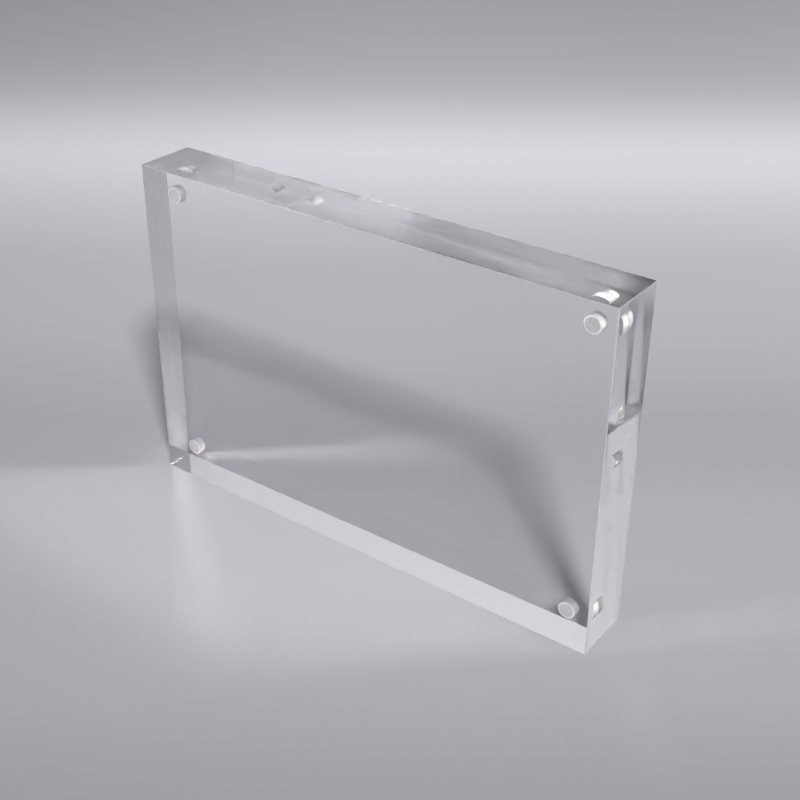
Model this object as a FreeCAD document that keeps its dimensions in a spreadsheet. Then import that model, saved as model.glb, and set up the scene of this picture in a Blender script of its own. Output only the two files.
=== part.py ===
import FreeCAD, Part
import math
import os
import sys

import Sketcher
from FreeCAD import Placement, Rotation, Vector

# A clear block frame for a 6 x 4 in print. Two equal acrylic blocks stand face to face, and the print
# goes between them. Each block has a blind pocket near each corner of its mating face. A disc magnet
# is bonded into every pocket, so four pairs of magnets pull the blocks together.
#
# Axes: X is the frame's width, Z its height, and -Y the side it is looked at from. The origin is the
# middle of the base, on the surface that the frame stands on, half way through its depth.

# Driving dimensions in millimetres.
SIZES = {
    "block_width": (152.4, "long side of each block, 6 in"),
    "block_height": (101.6, "short side of each block, 4 in"),
    "block_thickness": (9.2, "real thickness of nominal 10 mm cast sheet"),
    "edge_chamfer": (0.2, "polished chamfer on the outer edges"),
    "seam_gap": (0.1, "air film between the mating faces when the frame is shut empty"),
    "magnet_diameter": (5.0, "plated disc magnet"),
    "magnet_length": (2.0, "plated disc magnet, along its axis"),
    "magnet_edge_radius": (0.2, "rounded rim of the magnet"),
    "magnet_side_inset": (8.4, "magnet axis from the block's left or right side"),
    "magnet_end_inset": (8.4, "magnet axis from the block's top or base"),
    "magnet_recess": (0.15, "magnet's face below the mating face"),
    "pocket_clearance": (0.1, "air between the magnet and its pocket, all round"),
    "adhesive_film": (0.15, "cured adhesive between the magnet and the pocket's floor"),
}

# Each corner's name with its side across the width (-1 left, 1 right) and its end (0 base, 1 top).
CORNERS = {
    "top_left": (-1, 1),
    "top_right": (1, 1),
    "bottom_left": (-1, 0),
    "bottom_right": (1, 0),
}

# The front half is drawn as it stands. The rear half is the same parts turned half round.
HALVES = {"front": 0, "rear": 180}

VOLUME_SHARE = 1e-6

doc = FreeCAD.newDocument("acrylic_block_frame")


def make_sheet():
    sheet = doc.addObject("Spreadsheet::Sheet", "sizes")
    for row, (alias, (value, meaning)) in enumerate(SIZES.items(), start=1):
        sheet.set(f"A{row}", alias)
        sheet.set(f"B{row}", str(value))
        sheet.setAlias(f"B{row}", alias)
        sheet.set(f"C{row}", meaning)
    doc.recompute()
    return sheet


sizes = make_sheet()


def new_body(name):
    body = doc.addObject("PartDesign::Body", name)
    body.Label = name
    return body


def sketch_on_mating_plane(body, name):
    """A sketch on the body's XZ plane: its X is the width, its Y the height, and it faces -Y."""
    plane = next(f for f in body.Origin.OriginFeatures if f.Role == "XZ_Plane")
    sketch = body.newObject("Sketcher::SketchObject", name)
    sketch.AttachmentSupport = [(plane, "")]
    sketch.MapMode = "FlatFace"
    return sketch


def bind(sketch, constraint, name, expression):
    """Adds a dimension to the sketch and ties it to the sheet."""
    sketch.addConstraint(constraint)
    last = sketch.ConstraintCount - 1
    sketch.renameConstraint(last, name)
    sketch.setExpression(f"Constraints.{name}", expression)


# One block: a slab, its four pockets, and the chamfers round its outer face.

# The sketch's own origin, as a constraint names it.
ORIGIN_POINT = (-1, 1)


def draw_slab_outline(sketch):
    half = sizes.block_width / 2
    top = sizes.block_height
    corners = [Vector(-half, 0, 0), Vector(half, 0, 0), Vector(half, top, 0), Vector(-half, top, 0)]
    for start, end in zip(corners, corners[1:] + corners[:1]):
        sketch.addGeometry(Part.LineSegment(start, end))
    base, right, upper, left = range(4)
    for line, following in ((base, right), (right, upper), (upper, left), (left, base)):
        sketch.addConstraint(Sketcher.Constraint("Coincident", line, 2, following, 1))
    for line in (base, upper):
        sketch.addConstraint(Sketcher.Constraint("Horizontal", line))
    for line in (right, left):
        sketch.addConstraint(Sketcher.Constraint("Vertical", line))
    sketch.addConstraint(Sketcher.Constraint("Symmetric", base, 1, base, 2, *ORIGIN_POINT))
    width = Sketcher.Constraint("DistanceX", base, 1, base, 2, sizes.block_width)
    height = Sketcher.Constraint("DistanceY", right, 1, right, 2, sizes.block_height)
    bind(sketch, width, "width", "sizes.block_width")
    bind(sketch, height, "height", "sizes.block_height")


def draw_pocket_circles(sketch):
    radius = sizes.magnet_diameter / 2 + sizes.pocket_clearance
    for circle, (corner, (side, end)) in enumerate(CORNERS.items()):
        x = side * (sizes.block_width / 2 - sizes.magnet_side_inset)
        z = sizes.magnet_end_inset
        if end:
            z = sizes.block_height - sizes.magnet_end_inset
        sketch.addGeometry(Part.Circle(Vector(x, z, 0), Vector(0, 0, 1), radius))
        across = Sketcher.Constraint("DistanceX", *ORIGIN_POINT, circle, 3, x)
        up = Sketcher.Constraint("DistanceY", *ORIGIN_POINT, circle, 3, z)
        bind(sketch, across, f"across_{corner}", across_from_middle(side))
        bind(sketch, up, f"up_{corner}", height_of(end))
        if circle:
            sketch.addConstraint(Sketcher.Constraint("Equal", 0, circle))
    bore = Sketcher.Constraint("Diameter", 0, 2 * radius)
    bind(sketch, bore, "pocket_diameter", "sizes.magnet_diameter + 2 * sizes.pocket_clearance")


def across_from_middle(side):
    return f"{side} * (sizes.block_width / 2 - sizes.magnet_side_inset)"


def height_of(end):
    return "sizes.block_height - sizes.magnet_end_inset" if end else "sizes.magnet_end_inset"


def outer_edges(shape):
    """Names of the straight edges that don't lie in the mating face, which keeps its square edges."""
    names = []
    for number, edge in enumerate(shape.Edges, start=1):
        straight = isinstance(edge.Curve, Part.Line)
        if straight and edge.BoundBox.YMin < -sizes.block_thickness / 2:
            names.append(f"Edge{number}")
    return names


def need_volume(what, found, wanted):
    if abs(found - wanted) > VOLUME_SHARE * abs(wanted):
        sys.exit(f"{what}: the volume is {found:.4f} mm3, and it should be {wanted:.4f} mm3")


def make_block(name):
    body = new_body(name)
    outline = sketch_on_mating_plane(body, f"{name}_outline")
    draw_slab_outline(outline)
    slab = body.newObject("PartDesign::Pad", f"{name}_slab")
    slab.Profile = outline
    slab.setExpression("Length", "sizes.block_thickness")
    doc.recompute()
    solid_volume = sizes.block_width * sizes.block_height * sizes.block_thickness
    need_volume(f"{name} slab", slab.Shape.Volume, solid_volume)

    circles = sketch_on_mating_plane(body, f"{name}_pocket_circles")
    draw_pocket_circles(circles)
    pockets = body.newObject("PartDesign::Pocket", f"{name}_pockets")
    pockets.Profile = circles
    pockets.Reversed = True
    depth = "sizes.magnet_recess + sizes.magnet_length + sizes.adhesive_film"
    pockets.setExpression("Length", depth)
    doc.recompute()
    radius = sizes.magnet_diameter / 2 + sizes.pocket_clearance
    pocket_depth = sizes.magnet_recess + sizes.magnet_length + sizes.adhesive_film
    cut = len(CORNERS) * math.pi * radius**2 * pocket_depth
    need_volume(f"{name} pockets", slab.Shape.Volume - pockets.Shape.Volume, cut)

    chamfer = body.newObject("PartDesign::Chamfer", f"{name}_chamfer")
    chamfer.Base = (pockets, outer_edges(pockets.Shape))
    chamfer.setExpression("Size", "sizes.edge_chamfer")
    return body


# A magnet and the adhesive behind it: each is a disc on the axis of its pocket.


def draw_disc(sketch):
    sketch.addGeometry(Part.Circle(Vector(0, 0, 0), Vector(0, 0, 1), sizes.magnet_diameter / 2))
    sketch.addConstraint(Sketcher.Constraint("Coincident", 0, 3, *ORIGIN_POINT))
    diameter = Sketcher.Constraint("Diameter", 0, sizes.magnet_diameter)
    bind(sketch, diameter, "diameter", "sizes.magnet_diameter")


def make_disc(name, length):
    body = new_body(name)
    circle = sketch_on_mating_plane(body, f"{name}_circle")
    draw_disc(circle)
    disc = body.newObject("PartDesign::Pad", f"{name}_disc")
    disc.Profile = circle
    disc.setExpression("Length", length)
    return body


def make_magnet(name):
    body = make_disc(name, "sizes.magnet_length")
    doc.recompute()
    disc = body.Tip
    rims = []
    for number, edge in enumerate(disc.Shape.Edges, start=1):
        if isinstance(edge.Curve, Part.Circle):
            rims.append(f"Edge{number}")
    rounded = body.newObject("PartDesign::Fillet", f"{name}_rims")
    rounded.Base = (disc, rims)
    rounded.setExpression("Radius", "sizes.magnet_edge_radius")
    return body


def place(body, turn, corner=None, depth="0"):
    """Puts a part in its half. Depth is how far its face lies behind the mating face."""
    body.Placement = Placement(Vector(0, 0, 0), Rotation(Vector(0, 0, 1), turn))
    towards = 1 if turn else -1
    body.setExpression("Placement.Base.y", f"{towards} * (sizes.seam_gap / 2 + {depth})")
    if corner:
        side, end = CORNERS[corner]
        body.setExpression("Placement.Base.x", across_from_middle(side))
        body.setExpression("Placement.Base.z", height_of(end))


def make_half(half, turn):
    block = make_block(f"{half}_block")
    place(block, turn)
    made = [block]
    for corner in CORNERS:
        magnet = make_magnet(f"{half}_magnet_{corner}")
        place(magnet, turn, corner, "sizes.magnet_recess")
        adhesive = make_disc(f"{half}_adhesive_{corner}", "sizes.adhesive_film")
        place(adhesive, turn, corner, "sizes.magnet_recess + sizes.magnet_length")
        made += [magnet, adhesive]
    return made


def need_good(pieces):
    for thing in doc.Objects:
        if "Invalid" in thing.State or "Error" in thing.State:
            sys.exit(f"{thing.Label} failed: {thing.State}")
    for body in pieces:
        if body.Shape.isNull() or not body.Shape.isValid():
            sys.exit(f"{body.Label} has no valid shape")


pieces = []
for half, turn in HALVES.items():
    pieces += make_half(half, turn)
doc.recompute()
need_good(pieces)

os.makedirs("parts", exist_ok=True)
for body in pieces:
    body.Shape.exportStep(f"parts/{body.Label}.step")
    box = body.Shape.BoundBox
    size = " x ".join(f"{length:.2f}" for length in (box.XLength, box.YLength, box.ZLength))
    print(f"{body.Label}: {size} mm, {body.Shape.Volume:.2f} mm3")
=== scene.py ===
import math

import bpy
from mathutils import Matrix, Vector, noise


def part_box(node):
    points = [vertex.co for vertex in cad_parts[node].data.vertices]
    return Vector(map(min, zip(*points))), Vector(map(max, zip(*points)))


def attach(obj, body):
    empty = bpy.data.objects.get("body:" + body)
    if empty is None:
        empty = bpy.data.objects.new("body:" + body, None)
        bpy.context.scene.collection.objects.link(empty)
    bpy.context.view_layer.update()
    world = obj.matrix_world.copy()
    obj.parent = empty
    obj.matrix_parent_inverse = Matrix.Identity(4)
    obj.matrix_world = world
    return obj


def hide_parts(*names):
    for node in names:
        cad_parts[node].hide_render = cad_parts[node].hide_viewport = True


# The looks of a clear acrylic block frame: two polished blocks, face to face, with nickel-plated disc
# magnets bonded into pockets in their mating faces. Lengths are in metres. The frame's front is -Y.

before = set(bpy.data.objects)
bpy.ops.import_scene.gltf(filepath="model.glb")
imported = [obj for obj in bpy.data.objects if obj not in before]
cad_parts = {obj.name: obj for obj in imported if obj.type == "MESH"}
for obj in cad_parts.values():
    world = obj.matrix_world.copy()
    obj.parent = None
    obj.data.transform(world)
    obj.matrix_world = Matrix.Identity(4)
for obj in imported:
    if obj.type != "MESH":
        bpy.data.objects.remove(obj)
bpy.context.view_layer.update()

MM = 0.001

# A block's edges. Those of the right end are handled the most, the foot of the left end takes the
# knocks, and the rest are only just broken.
HANDLED_EDGE = 0.13 * MM
KNOCKED_EDGE = 0.2 * MM
BROKEN_EDGE = 0.025 * MM
# A block's pockets: the air between a magnet and the wall, and the small radius round the floor.
POCKET_EASE = 0.03 * MM
POCKET_FLOOR_RADIUS = 0.12 * MM
POCKET_FLOOR_STEPS = 3
POCKET_SIDES = 96
# A pocket's faces lie no further than these from its magnet's side and from the mating face.
POCKET_REACH = 0.2 * MM
POCKET_DEPTH_LIMIT = 4 * MM
# The cutters' shapes stand this far out of the block.
CUTTER_OVERRUN = 1 * MM
MAGNET_EDGE_RADIUS = 0.2 * MM
MAGNET_EDGE_STEPS = 4
MAGNET_SIDES = 96
ADHESIVE_SIDES = 64
# Each of an adhesive film's two faces stays this far from what it holds, so that no two surfaces share
# one place.
SKIN_GAP = 0.012 * MM
# The magnets pull the blocks closer than the solids stand, so each mating face comes this far forward.
PULLED_CLOSER = 0.046 * MM
# How close two places count as one. The finer one tells a square edge from one that is broken.
NEAR = 0.05 * MM
SAME = 0.001 * MM
X, Y, Z = range(3)

# Faces that turn less than this from one to the next are shaded as one round face.
SMOOTH_WITHIN = math.radians(10)
RIM_SMOOTH_WITHIN = math.radians(30)

CORNERS = ("top_left", "top_right", "bottom_left", "bottom_right")
HALVES = {"front": "front_half", "rear": "rear_half"}

# The view: the way from the frame to the camera, how far it is, what it looks at, and its lens.
VIEW_AZIMUTH = math.radians(36.12)
VIEW_ELEVATION = math.radians(30.28)
VIEW_ROLL = math.radians(0.467)
VIEW_DISTANCE = 361.06 * MM
VIEW_TARGET = Vector((8.53, 0, 49.69)) * MM
LENS_MM = 58.89
SENSOR_MM = 36
NEAREST_SEEN = 10 * MM

# The lamp's way from the frame, its distance and its width.
LAMP_AZIMUTH = math.radians(47.4)
LAMP_ELEVATION = math.radians(46.6)
LAMP_DISTANCE = 2.5
LAMP_WIDTH = 0.44
LAMP_WATTS = 71.5

# The room's light: a little from everywhere, more from the walls all round, and most from panels. Light
# is given by height above the horizon, and all angles are in degrees.
ROOM_COLOUR = (0.985, 0.98, 1.03, 1.0)
ROOM_LIGHT = 0.02
WALLS = {0: 0.2, 10: 0.22, 20: 0.17, 28: 0.0}
# How pale the walls are where the camera looks straight at them.
BACKDROP = {0: 0.22, 10: 0.34}
# The ramps that hold the light go up to this, and from the horizon to straight overhead.
BRIGHTEST = 2.0
OVERHEAD = 90
# Each panel has the way to its middle, to the right of straight behind the frame. Then come how far it
# is at full light to each side, how far off it has faded away, and its light by height.
PANELS = {
    "back left wall": (-36, 24, 48, {0: 0.05, 27: 0.05, 33: 0.58, 41: 0.7, 48: 0.4, 60: 0.0}),
    "back right wall": (36, 20, 45, {0: 0.0, 26: 0.0, 34: 0.42, 42: 0.42, 55: 0.0}),
    "front left wall": (-144, 20, 45, {0: 0.0, 15: 0.1, 25: 0.6, 42: 0.6, 50: 0.0}),
    "low strip behind": (-9, 5, 14, {8: 0.0, 16: 1.1, 22: 1.1, 25: 0.35, 28: 0.0}),
}

# How often light may turn between a block's faces before it is given up.
MOST_TURNS = 32


# Selecting and shaping

def select_nothing():
    bpy.ops.object.select_all(action="DESELECT")


def settle(piece):
    """Puts the piece's place, turn and scale into its mesh."""
    select_nothing()
    piece.select_set(True)
    bpy.context.view_layer.objects.active = piece
    bpy.ops.object.transform_apply(location=True, rotation=True, scale=True)


def select_edges(piece, wanted):
    """Leaves edit mode on, with only the edges selected whose two ends the test accepts."""
    bpy.ops.object.mode_set(mode="EDIT")
    bpy.ops.mesh.select_mode(type="EDGE")
    bpy.ops.mesh.select_all(action="DESELECT")
    bpy.ops.object.mode_set(mode="OBJECT")
    vertices = piece.data.vertices
    for edge in piece.data.edges:
        edge.select = wanted(*(vertices[end].co for end in edge.vertices))
    bpy.ops.object.mode_set(mode="EDIT")


def bevel_edges(piece, wanted, width, steps):
    select_edges(piece, wanted)
    bpy.ops.mesh.bevel(offset=width, segments=steps, affect="EDGES")
    bpy.ops.object.mode_set(mode="OBJECT")


def apply_modifier(piece, kind, **settings):
    modifier = piece.modifiers.new(kind.lower(), kind)
    for name, value in settings.items():
        setattr(modifier, name, value)
    bpy.context.view_layer.objects.active = piece
    bpy.ops.object.modifier_apply(modifier=modifier.name)


def smooth_round_faces(piece, within=SMOOTH_WITHIN):
    select_nothing()
    piece.select_set(True)
    bpy.context.view_layer.objects.active = piece
    bpy.ops.object.shade_smooth_by_angle(angle=within)


def add_disc(centre, radius, length, sides):
    """A disc whose axis runs along the frame's depth."""
    select_nothing()
    bpy.ops.mesh.primitive_cylinder_add(
        vertices=sides, radius=radius, depth=length, location=centre, rotation=(math.pi / 2, 0, 0)
    )
    disc = bpy.context.object
    settle(disc)
    return disc


def all_at(ends, axis, place, within=NEAR):
    """True when each of an edge's ends lies at that place along the axis."""
    return all(abs(end[axis] - place) < within for end in ends)


def take_place(piece, name, body, slot, *nodes):
    piece.name = name
    piece.data.name = name
    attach(piece, body)
    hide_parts(*nodes)


def middle_and_size(node):
    low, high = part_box(node)
    return (low + high) / 2, high - low


# Node helpers

def new_material(name):
    material = bpy.data.materials.new(name)
    material.use_nodes = True
    return material, material.node_tree, material.node_tree.nodes["Principled BSDF"]


def set_sockets(node, **values):
    for name, value in values.items():
        node.inputs[name.replace("_", " ")].default_value = value


def new_group(name, inputs, outputs):
    """A shader group with inputs, given with their defaults, and outputs. All of them are numbers."""
    tree = bpy.data.node_groups.new(name, "ShaderNodeTree")
    for label, default in inputs.items():
        socket = tree.interface.new_socket(label, in_out="INPUT", socket_type="NodeSocketFloat")
        socket.default_value = default
    for label in outputs:
        tree.interface.new_socket(label, in_out="OUTPUT", socket_type="NodeSocketFloat")
    return tree, tree.nodes.new("NodeGroupInput"), tree.nodes.new("NodeGroupOutput")


def place_group(tree, group, **values):
    node = tree.nodes.new("ShaderNodeGroup")
    node.node_tree = group
    set_sockets(node, **values)
    return node


def maths(tree, operation, *values):
    """A Math node. A value is a number or a socket."""
    node = tree.nodes.new("ShaderNodeMath")
    node.operation = operation
    for socket, value in zip(node.inputs, values):
        if isinstance(value, (int, float)):
            socket.default_value = value
        else:
            tree.links.new(value, socket)
    return node.outputs["Value"]


def vector_maths(tree, operation, *values):
    node = tree.nodes.new("ShaderNodeVectorMath")
    node.operation = operation
    for socket, value in zip(node.inputs, values):
        if isinstance(value, (tuple, Vector)):
            socket.default_value = value
        else:
            tree.links.new(value, socket)
    return node


def map_range(tree, value, low, high, to_low, to_high):
    """Value's low to high becomes to_low to to_high, and goes no further."""
    node = tree.nodes.new("ShaderNodeMapRange")
    tree.links.new(value, node.inputs["Value"])
    for label, number in (("From Min", low), ("From Max", high), ("To Min", to_low), ("To Max", to_high)):
        if isinstance(number, (int, float)):
            node.inputs[label].default_value = number
        else:
            tree.links.new(number, node.inputs[label])
    return node.outputs["Result"]


def ramp(tree, share, stops):
    """Grey levels that run straight from stop to stop. Stops are shares with their levels, both 0 to 1."""
    node = tree.nodes.new("ShaderNodeValToRGB")
    elements = node.color_ramp.elements
    places = sorted(stops)
    while len(elements) < len(places):
        elements.new(0.5)
    for element, place in zip(elements, places):
        element.position = place
        element.color = (stops[place],) * 3 + (1.0,)
    tree.links.new(share, node.inputs["Fac"])
    return node.outputs["Color"]


def noise_at(tree, place, scale, detail=2.0):
    node = tree.nodes.new("ShaderNodeTexNoise")
    tree.links.new(place, node.inputs["Vector"])
    set_sockets(node, Scale=scale, Detail=detail)
    return node.outputs["Fac"]


def object_place(tree):
    return tree.nodes.new("ShaderNodeTexCoord").outputs["Object"]


# Finishes

# Noise lies between 0 and 1, mostly near the middle. Each range says which part of it shows.
SMEARS_PER_METRE = 28
SMEAR_DETAIL = 3.0
SMEAR_RANGE = (0.55, 0.8)


def polish_marks_group():
    """The faint smears on a polished face, which are a little less glossy than the rest."""
    tree, inside, outside = new_group(
        "polish marks", {"Least Roughness": 0.0, "Smear Roughness": 0.02}, ("Roughness",)
    )
    smear = noise_at(tree, object_place(tree), SMEARS_PER_METRE, SMEAR_DETAIL)
    smear = map_range(tree, smear, *SMEAR_RANGE, 0.0, 1.0)
    spread = maths(tree, "MULTIPLY", smear, inside.outputs["Smear Roughness"])
    rough = maths(tree, "ADD", spread, inside.outputs["Least Roughness"])
    tree.links.new(rough, outside.inputs["Roughness"])
    return tree


TOOL_MARK_PITCH = 0.12 * MM
# How high the rings stand, as a share of the grain.
TOOL_MARK_SHARE = 0.3
GRAINS_PER_METRE = 9000
GRAIN_DETAIL = 4.0
GRAIN_RANGE = (0.3, 0.7)
# A way times this is the part of it that runs across a pocket's axis.
ACROSS_THE_AXIS = (1.0, 0.0, 1.0)


def milled_group():
    """The rings that a cutter leaves in a pocket, worked out from the way to the nearest pocket's axis."""
    tree, inside, outside = new_group(
        "milled grain",
        {"Least Roughness": 0.25, "Most Roughness": 0.5},
        ("Roughness", "Height", "Radius"),
    )
    block_middle, _ = middle_and_size("front_block")
    axis, _ = middle_and_size("front_magnet_top_right")
    from_middle = Vector((axis.x, 0, axis.z - block_middle.z))
    place = object_place(tree)
    centred = vector_maths(tree, "SUBTRACT", place, Vector((0, 0, block_middle.z))).outputs["Vector"]
    folded = vector_maths(tree, "ABSOLUTE", centred).outputs["Vector"]
    away = vector_maths(tree, "SUBTRACT", folded, from_middle).outputs["Vector"]
    flat = vector_maths(tree, "MULTIPLY", away, ACROSS_THE_AXIS).outputs["Vector"]
    radius = vector_maths(tree, "LENGTH", flat).outputs["Value"]
    ring = maths(tree, "SINE", maths(tree, "MULTIPLY", radius, math.tau / TOOL_MARK_PITCH))
    grain = noise_at(tree, place, GRAINS_PER_METRE, GRAIN_DETAIL)
    least, most = inside.outputs["Least Roughness"], inside.outputs["Most Roughness"]
    rough = map_range(tree, grain, *GRAIN_RANGE, least, most)
    height = maths(tree, "ADD", maths(tree, "MULTIPLY", ring, TOOL_MARK_SHARE), grain)
    tree.links.new(rough, outside.inputs["Roughness"])
    tree.links.new(height, outside.inputs["Height"])
    tree.links.new(radius, outside.inputs["Radius"])
    return tree


PITS_PER_METRE = 5200
CLOUDS_PER_METRE = 700
CLOUD_DETAIL = 3.0
CLOUD_RANGE = (0.35, 0.65)


def metal_skin_group():
    """Fine pits and a cloudy sheen, as on a plated metal."""
    tree, inside, outside = new_group(
        "plated skin",
        {"Least Roughness": 0.12, "Most Roughness": 0.3},
        ("Roughness", "Height", "Cloud"),
    )
    place = object_place(tree)
    cloud = noise_at(tree, place, CLOUDS_PER_METRE, CLOUD_DETAIL)
    pits = noise_at(tree, place, PITS_PER_METRE)
    least, most = inside.outputs["Least Roughness"], inside.outputs["Most Roughness"]
    rough = map_range(tree, cloud, *CLOUD_RANGE, least, most)
    tree.links.new(rough, outside.inputs["Roughness"])
    tree.links.new(pits, outside.inputs["Height"])
    tree.links.new(cloud, outside.inputs["Cloud"])
    return tree


def bump(tree, shader, height, strength, depth):
    node = tree.nodes.new("ShaderNodeBump")
    set_sockets(node, Strength=strength, Distance=depth)
    tree.links.new(height, node.inputs["Height"])
    tree.links.new(node.outputs["Normal"], shader.inputs["Normal"])


def blend_colours(tree, factor, first, second):
    node = tree.nodes.new("ShaderNodeMix")
    node.data_type = "RGBA"
    tree.links.new(factor, node.inputs["Factor"])
    node.inputs["A"].default_value = first
    node.inputs["B"].default_value = second
    return node.outputs["Result"]


ACRYLIC_IOR = 1.49
ACRYLIC_TINT = (0.995, 0.993, 0.998, 1.0)
POCKET_WHITE = (0.95, 0.95, 0.96, 1.0)


def polished_acrylic(marks):
    material, tree, shader = new_material("polished acrylic")
    set_sockets(shader, Base_Color=ACRYLIC_TINT, IOR=ACRYLIC_IOR, Transmission_Weight=1.0, Metallic=0.0)
    skin = place_group(tree, marks, Least_Roughness=0.0, Smear_Roughness=0.015)
    tree.links.new(skin.outputs["Roughness"], shader.inputs["Roughness"])
    return material


def milled_acrylic(milled):
    """A pocket's wall, a quarter of it clear and the rest whitened by the cutter."""
    material, tree, shader = new_material("milled acrylic")
    set_sockets(shader, Base_Color=POCKET_WHITE, IOR=ACRYLIC_IOR, Transmission_Weight=0.25, Metallic=0.0)
    grain = place_group(tree, milled, Least_Roughness=0.15, Most_Roughness=0.35)
    tree.links.new(grain.outputs["Roughness"], shader.inputs["Roughness"])
    bump(tree, shader, grain.outputs["Height"], strength=0.4, depth=0.01 * MM)
    return material


EDGE_COLOUR = (0.9, 0.91, 0.92, 1.0)


def scraped_acrylic(milled):
    """The narrow chamfers, scraped by hand and left satin."""
    material, tree, shader = new_material("scraped acrylic")
    set_sockets(shader, Base_Color=EDGE_COLOUR, IOR=ACRYLIC_IOR, Transmission_Weight=0.5, Metallic=0.0)
    grain = place_group(tree, milled, Least_Roughness=0.3, Most_Roughness=0.5)
    tree.links.new(grain.outputs["Roughness"], shader.inputs["Roughness"])
    bump(tree, shader, grain.outputs["Height"], strength=0.3, depth=0.01 * MM)
    return material


NICKEL_LIGHT = (0.95, 0.95, 0.95, 1.0)
NICKEL_DARK = (0.82, 0.82, 0.83, 1.0)
# How much further light spreads along a magnet than round it: its side was ground round its axis.
GRINDING = 0.75


def nickel_plate(skin_group):
    material, tree, shader = new_material("nickel plate")
    set_sockets(shader, Metallic=1.0, Anisotropic=GRINDING)
    round_about = tree.nodes.new("ShaderNodeTangent")
    round_about.direction_type = "RADIAL"
    round_about.axis = "Y"
    tree.links.new(round_about.outputs["Tangent"], shader.inputs["Tangent"])
    skin = place_group(tree, skin_group, Least_Roughness=0.4, Most_Roughness=0.5)
    colour = blend_colours(tree, skin.outputs["Cloud"], NICKEL_DARK, NICKEL_LIGHT)
    tree.links.new(colour, shader.inputs["Base Color"])
    tree.links.new(skin.outputs["Roughness"], shader.inputs["Roughness"])
    bump(tree, shader, skin.outputs["Height"], strength=0.15, depth=0.01 * MM)
    return material


ADHESIVE_LIGHT = (0.92, 0.92, 0.93, 1.0)
ADHESIVE_DARK = (0.28, 0.28, 0.29, 1.0)
PIT_RANGE = (0.36, 0.66)
# The paler rim, by how far it is from the axis.
RIM_RANGE = (1.85 * MM, 2.15 * MM)


def cured_adhesive(skin_group, milled):
    """Grainy grey over the magnet's face, and paler in a ring round its rim."""
    material, tree, shader = new_material("cured adhesive")
    skin = place_group(tree, skin_group, Least_Roughness=0.3, Most_Roughness=0.5)
    grain = map_range(tree, skin.outputs["Height"], *PIT_RANGE, 0.0, 1.0)
    rings = place_group(tree, milled)
    rim = map_range(tree, rings.outputs["Radius"], *RIM_RANGE, 0.0, 1.0)
    paler = maths(tree, "MAXIMUM", grain, rim)
    colour = blend_colours(tree, paler, ADHESIVE_DARK, ADHESIVE_LIGHT)
    tree.links.new(colour, shader.inputs["Base Color"])
    tree.links.new(skin.outputs["Roughness"], shader.inputs["Roughness"])
    bump(tree, shader, skin.outputs["Height"], strength=0.5, depth=0.02 * MM)
    return material


# The blocks

def make_pocket_cutter(half):
    """The four pockets' shapes in one mesh. Each floor has the small radius of the milling cutter."""
    block_low, block_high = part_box(f"{half}_block")
    cutters = []
    for corner in CORNERS:
        magnet_low, magnet_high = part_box(f"{half}_magnet_{corner}")
        adhesive_low, adhesive_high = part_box(f"{half}_adhesive_{corner}")
        centre = (magnet_low + magnet_high) / 2
        radius = (magnet_high.x - magnet_low.x) / 2 + POCKET_EASE
        if half == "front":
            floor, mouth = adhesive_low.y, block_high.y + CUTTER_OVERRUN
        else:
            floor, mouth = adhesive_high.y, block_low.y - CUTTER_OVERRUN
        middle = (centre.x, (floor + mouth) / 2, centre.z)
        cutter = add_disc(middle, radius, abs(mouth - floor), POCKET_SIDES)
        bevel_edges(
            cutter, lambda *ends: all_at(ends, Y, floor), POCKET_FLOOR_RADIUS, POCKET_FLOOR_STEPS
        )
        cutters.append(cutter)
    select_nothing()
    for cutter in cutters:
        cutter.select_set(True)
    bpy.ops.object.join()
    return bpy.context.object


def in_a_pocket(point, axes):
    """True for a point that lies no further than a pocket's wall from the pocket's axis."""
    return any(math.hypot(point.x - axis.x, point.z - axis.z) < reach for axis, reach in axes)


def is_handled(low, high, mating, ends):
    """True for an edge of the right end, but not in the mating face or the one that it stands on."""
    return all_at(ends, X, high.x) and not all_at(ends, Z, low.z) and not all_at(ends, Y, mating)


def is_knocked(low, ends):
    """True for the edge at the foot of the left end."""
    return all_at(ends, X, low.x) and all_at(ends, Z, low.z)


def is_outer(low, high, mating, ends):
    """True for a box edge that is still square and isn't in the mating face."""
    walls = 0
    for axis in (X, Y, Z):
        for wall in (low[axis], high[axis]):
            walls += all_at(ends, axis, wall, SAME)
    return walls == 2 and not all_at(ends, Y, mating)


# A face whose normal lies less than this along every axis is a chamfer.
FLAT_FACING = 0.9
# The places of a block's three finishes among its materials.
POLISHED, MILLED, SCRAPED = range(3)


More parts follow.
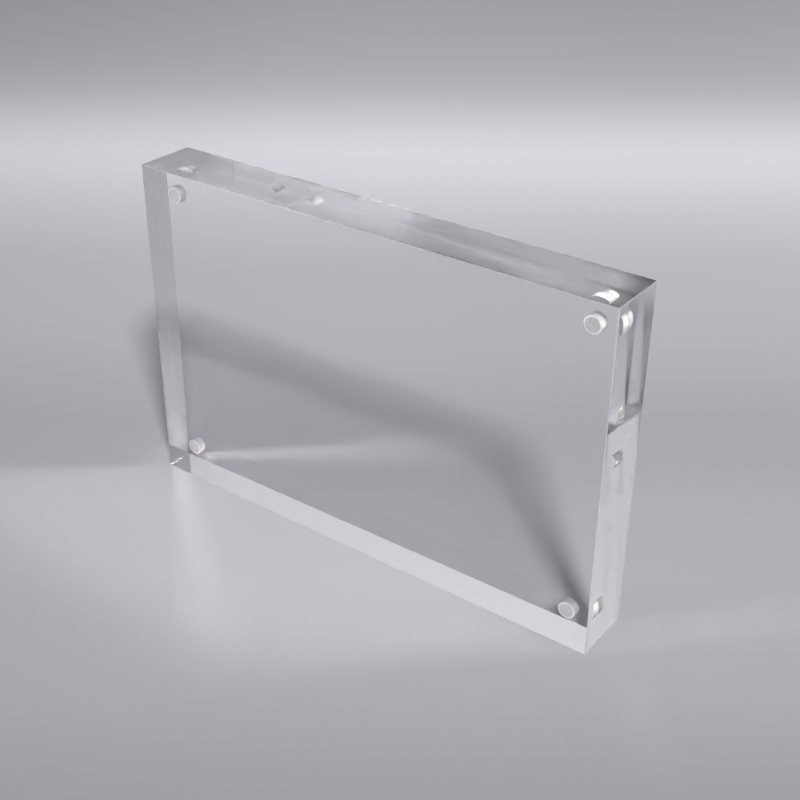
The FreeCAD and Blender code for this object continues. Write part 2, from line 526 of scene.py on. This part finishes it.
def make_block(half, finishes):
    node = f"{half}_block"
    low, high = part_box(node)
    if half == "front":
        high.y += PULLED_CLOSER
        mating = high.y
    else:
        low.y -= PULLED_CLOSER
        mating = low.y
    select_nothing()
    bpy.ops.mesh.primitive_cube_add(size=1, location=(low + high) / 2, scale=high - low)
    block = bpy.context.object
    settle(block)
    bevel_edges(block, lambda *ends: is_handled(low, high, mating, ends), HANDLED_EDGE, 1)
    bevel_edges(block, lambda *ends: is_knocked(low, ends), KNOCKED_EDGE, 1)
    bevel_edges(block, lambda *ends: is_outer(low, high, mating, ends), BROKEN_EDGE, 1)
    cutter = make_pocket_cutter(half)
    apply_modifier(block, "BOOLEAN", operation="DIFFERENCE", object=cutter, solver="EXACT")
    bpy.data.objects.remove(cutter)
    for finish in finishes:
        block.data.materials.append(finish)
    axes = []
    for corner in CORNERS:
        centre, size = middle_and_size(f"{half}_magnet_{corner}")
        axes.append((centre, size.x / 2 + POCKET_REACH))
    shallow = abs(mating) + NEAR
    deep = shallow + POCKET_DEPTH_LIMIT
    for face in block.data.polygons:
        inside = shallow < abs(face.center.y) < deep and in_a_pocket(face.center, axes)
        bevelled = max(abs(part) for part in face.normal) < FLAT_FACING
        on_floor = abs(face.normal.y) > FLAT_FACING
        if inside and not on_floor:
            face.material_index = MILLED
        elif bevelled and not inside:
            face.material_index = SCRAPED
        else:
            face.material_index = POLISHED
    smooth_round_faces(block)
    take_place(block, f"clear_{half}_block", HALVES[half], "clear_acrylic", node)


# The magnets and their adhesive

def make_magnet(half, corner, finish):
    node = f"{half}_magnet_{corner}"
    centre, size = middle_and_size(node)
    magnet = add_disc(centre, size.x / 2, size.y, MAGNET_SIDES)
    bevel_edges(
        magnet, lambda start, end: abs(start.y - end.y) < NEAR, MAGNET_EDGE_RADIUS, MAGNET_EDGE_STEPS
    )
    magnet.data.materials.append(finish)
    smooth_round_faces(magnet, RIM_SMOOTH_WITHIN)
    take_place(magnet, f"plated_{node}", HALVES[half], "nickel_plate", node)


RIPPLES_PER_METRE = 900
# How much of its radius the film lacks at most where it cured short of its rim.
MOST_LACKING_SHARE = 0.06


def make_adhesive(half, corner, finish):
    """A film whose rim is as uneven as it cured."""
    node = f"{half}_adhesive_{corner}"
    centre, size = middle_and_size(node)
    film = add_disc(centre, size.x / 2, size.y - 2 * SKIN_GAP, ADHESIVE_SIDES)
    for vertex in film.data.vertices:
        away = vertex.co - centre
        left = 1 - MOST_LACKING_SHARE * abs(noise.noise(vertex.co * RIPPLES_PER_METRE))
        away.x *= left
        away.z *= left
        vertex.co = centre + away
    film.data.materials.append(finish)
    smooth_round_faces(film)
    take_place(film, f"film_{node}", HALVES[half], "cured_adhesive", node)


# The stage

FLOOR_SPAN = 3.6
FLOOR_BELOW = 0.05 * MM
FLOOR_TINT = (1.003, 0.992, 1.055)
FLOOR_ROUGHNESS = 0.4
FLOOR_SHINE = 0.12
FLOOR_GRAINS_PER_METRE = 3000
FLOOR_GRAIN_RANGE = (0.3, 0.7)
FLOOR_GRAIN_SHARES = (0.985, 1.0)
# The floor's paleness by place along the view, in millimetres past the frame. It is painted light: a
# bright band that peaks some 340 mm past the frame, with less light towards the camera and further off.
FLOOR_NEAR = -150 * MM
FLOOR_FAR = 700 * MM
FLOOR_PAINTED_LIGHT = {
    -150: 0.33, -100: 0.34, -85: 0.37, -70: 0.4, -50: 0.42, -20: 0.44, 20: 0.44, 40: 0.42, 66: 0.42,
    95: 0.465, 125: 0.515, 160: 0.55, 190: 0.572, 210: 0.603, 232: 0.658, 255: 0.715, 280: 0.79,
    307: 0.87, 337: 0.91, 370: 0.86, 406: 0.755, 443: 0.65, 485: 0.6, 530: 0.575, 635: 0.56, 700: 0.55,
}
# How much of that paleness is left by place across the view, in millimetres to the right. It is painted
# shade: the light falling away to each side, most to the left.
FLOOR_SIDE = 300 * MM
FLOOR_SIDE_PAINTED_FALLOFF = {-300: 0.84, -220: 0.88, -60: 0.985, 0: 1.0, 100: 0.99, 300: 0.94}


def direction(azimuth, elevation):
    """The way from the frame to something at that azimuth, to the right of its front, and height."""
    flat = math.cos(elevation)
    return Vector((math.sin(azimuth) * flat, -math.cos(azimuth) * flat, math.sin(elevation)))


def make_camera():
    data = bpy.data.cameras.new("camera")
    data.lens = LENS_MM
    data.sensor_width = SENSOR_MM
    camera = bpy.data.objects.new("camera", data)
    bpy.context.scene.collection.objects.link(camera)
    back = direction(VIEW_AZIMUTH, VIEW_ELEVATION)
    right = (-back).cross(Vector((0, 0, 1))).normalized()
    up = right.cross(-back)
    turned_right = math.cos(VIEW_ROLL) * right + math.sin(VIEW_ROLL) * up
    turned_up = math.cos(VIEW_ROLL) * up - math.sin(VIEW_ROLL) * right
    turn = Matrix((turned_right, turned_up, back)).transposed().to_4x4()
    camera.matrix_world = Matrix.Translation(VIEW_TARGET + VIEW_DISTANCE * back) @ turn
    data.clip_start = NEAREST_SEEN
    bpy.context.scene.camera = camera


def paleness_along(tree, place, way, start, end, levels):
    """How pale the floor is by how far a place lies along that way. The levels are by millimetres."""
    along = vector_maths(tree, "DOT_PRODUCT", place, way).outputs["Value"]
    share = map_range(tree, along, start, end, 0.0, 1.0)
    stops = {(far * MM - start) / (end - start): level for far, level in levels.items()}
    return ramp(tree, share, stops)


def make_floor():
    """A satin sheet whose colour holds painted light and shade, changing both along the view and across
    it.
    """
    select_nothing()
    bpy.ops.mesh.primitive_plane_add(size=FLOOR_SPAN, location=(0, 0, -FLOOR_BELOW))
    floor = bpy.context.object
    floor.name = "floor"
    material, tree, shader = new_material("pale floor")
    set_sockets(shader, Roughness=FLOOR_ROUGHNESS, Specular_IOR_Level=FLOOR_SHINE)
    place = object_place(tree)
    onward = -direction(VIEW_AZIMUTH, 0)
    # Painted light and shade: the floor's colour is made paler and darker by place, as the light on it
    # falls.
    level = paleness_along(tree, place, onward, FLOOR_NEAR, FLOOR_FAR, FLOOR_PAINTED_LIGHT)
    sideways = Vector((math.cos(VIEW_AZIMUTH), math.sin(VIEW_AZIMUTH), 0))
    left = paleness_along(tree, place, sideways, -FLOOR_SIDE, FLOOR_SIDE, FLOOR_SIDE_PAINTED_FALLOFF)
    level = maths(tree, "MULTIPLY", level, left)
    grain = noise_at(tree, place, FLOOR_GRAINS_PER_METRE)
    grain = map_range(tree, grain, *FLOOR_GRAIN_RANGE, *FLOOR_GRAIN_SHARES)
    level = maths(tree, "MULTIPLY", level, grain)
    tint = tree.nodes.new("ShaderNodeVectorMath")
    tint.operation = "SCALE"
    tint.inputs[0].default_value = FLOOR_TINT
    tree.links.new(level, tint.inputs["Scale"])
    tree.links.new(tint.outputs["Vector"], shader.inputs["Base Color"])
    floor.data.materials.append(material)


def make_lamp():
    data = bpy.data.lights.new("lamp", "AREA")
    data.shape = "DISK"
    data.size = LAMP_WIDTH
    data.energy = LAMP_WATTS
    lamp = bpy.data.objects.new("lamp", data)
    bpy.context.scene.collection.objects.link(lamp)
    way = direction(LAMP_AZIMUTH, LAMP_ELEVATION)
    lamp.location = VIEW_TARGET + LAMP_DISTANCE * way
    lamp.rotation_mode = "QUATERNION"
    lamp.rotation_quaternion = way.to_track_quat("Z", "Y")


def ramp_by_height(tree, height, light_by_height):
    """Light by height above the horizon. Height is the share of the way up to straight overhead."""
    stops = {degrees / OVERHEAD: light / BRIGHTEST for degrees, light in light_by_height.items()}
    return maths(tree, "MULTIPLY", ramp(tree, height, stops), BRIGHTEST)


def panel_light(tree, way, height, azimuth, half_width, fade, light_by_height):
    """The light of one panel, where a way from the frame meets it."""
    turn = math.radians(azimuth)
    to_middle = Vector((math.sin(turn), math.cos(turn), 0))
    facing = vector_maths(tree, "DOT_PRODUCT", way, to_middle).outputs["Value"]
    narrow, wide = math.cos(math.radians(half_width)), math.cos(math.radians(fade))
    across = map_range(tree, facing, wide, narrow, 0.0, 1.0)
    return maths(tree, "MULTIPLY", across, ramp_by_height(tree, height, light_by_height))


# A way times this is the level part of it.
LEVEL_PART = (1.0, 1.0, 0.0)


def make_room():
    """The room's light from every side. Only where the camera looks past the floor is it paler."""
    world = bpy.data.worlds.new("room")
    bpy.context.scene.world = world
    world.use_nodes = True
    tree = world.node_tree
    background = tree.nodes["Background"]
    background.inputs["Color"].default_value = ROOM_COLOUR
    way = tree.nodes.new("ShaderNodeTexCoord").outputs["Generated"]
    apart = tree.nodes.new("ShaderNodeSeparateXYZ")
    tree.links.new(way, apart.inputs["Vector"])
    height = maths(tree, "DIVIDE", maths(tree, "ARCSINE", apart.outputs["Z"]), math.pi / 2)
    flat = vector_maths(tree, "MULTIPLY", way, LEVEL_PART).outputs["Vector"]
    flat = vector_maths(tree, "NORMALIZE", flat).outputs["Vector"]
    light = maths(tree, "ADD", ROOM_LIGHT, ramp_by_height(tree, height, WALLS))
    for panel in PANELS.values():
        light = maths(tree, "ADD", light, panel_light(tree, flat, height, *panel))
    path = tree.nodes.new("ShaderNodeLightPath")
    backdrop = ramp_by_height(tree, height, BACKDROP)
    seen = map_range(tree, path.outputs["Is Camera Ray"], 0.0, 1.0, light, backdrop)
    tree.links.new(seen, background.inputs["Strength"])


def set_light_paths():
    """Light is turned back and forth between a block's faces many times before it leaves."""
    cycles = bpy.context.scene.cycles
    cycles.max_bounces = MOST_TURNS
    cycles.glossy_bounces = MOST_TURNS
    cycles.transmission_bounces = MOST_TURNS
    cycles.blur_glossy = 0.0
    cycles.sample_clamp_indirect = 0.0
    cycles.use_guiding = True
    cycles.use_surface_guiding = True
    cycles.use_volume_guiding = False


# The whole scene

bpy.context.scene.view_settings.view_transform = "Standard"
make_camera()
make_floor()
make_lamp()
make_room()
set_light_paths()

polish_marks = polish_marks_group()
milled_grain = milled_group()
plated_skin = metal_skin_group()
polished = polished_acrylic(polish_marks)
milled = milled_acrylic(milled_grain)
nickel = nickel_plate(plated_skin)
adhesive = cured_adhesive(plated_skin, milled_grain)
scraped = scraped_acrylic(milled_grain)

for half in HALVES:
    make_block(half, (polished, milled, scraped))
    for corner in CORNERS:
        make_magnet(half, corner, nickel)
        make_adhesive(half, corner, adhesive)
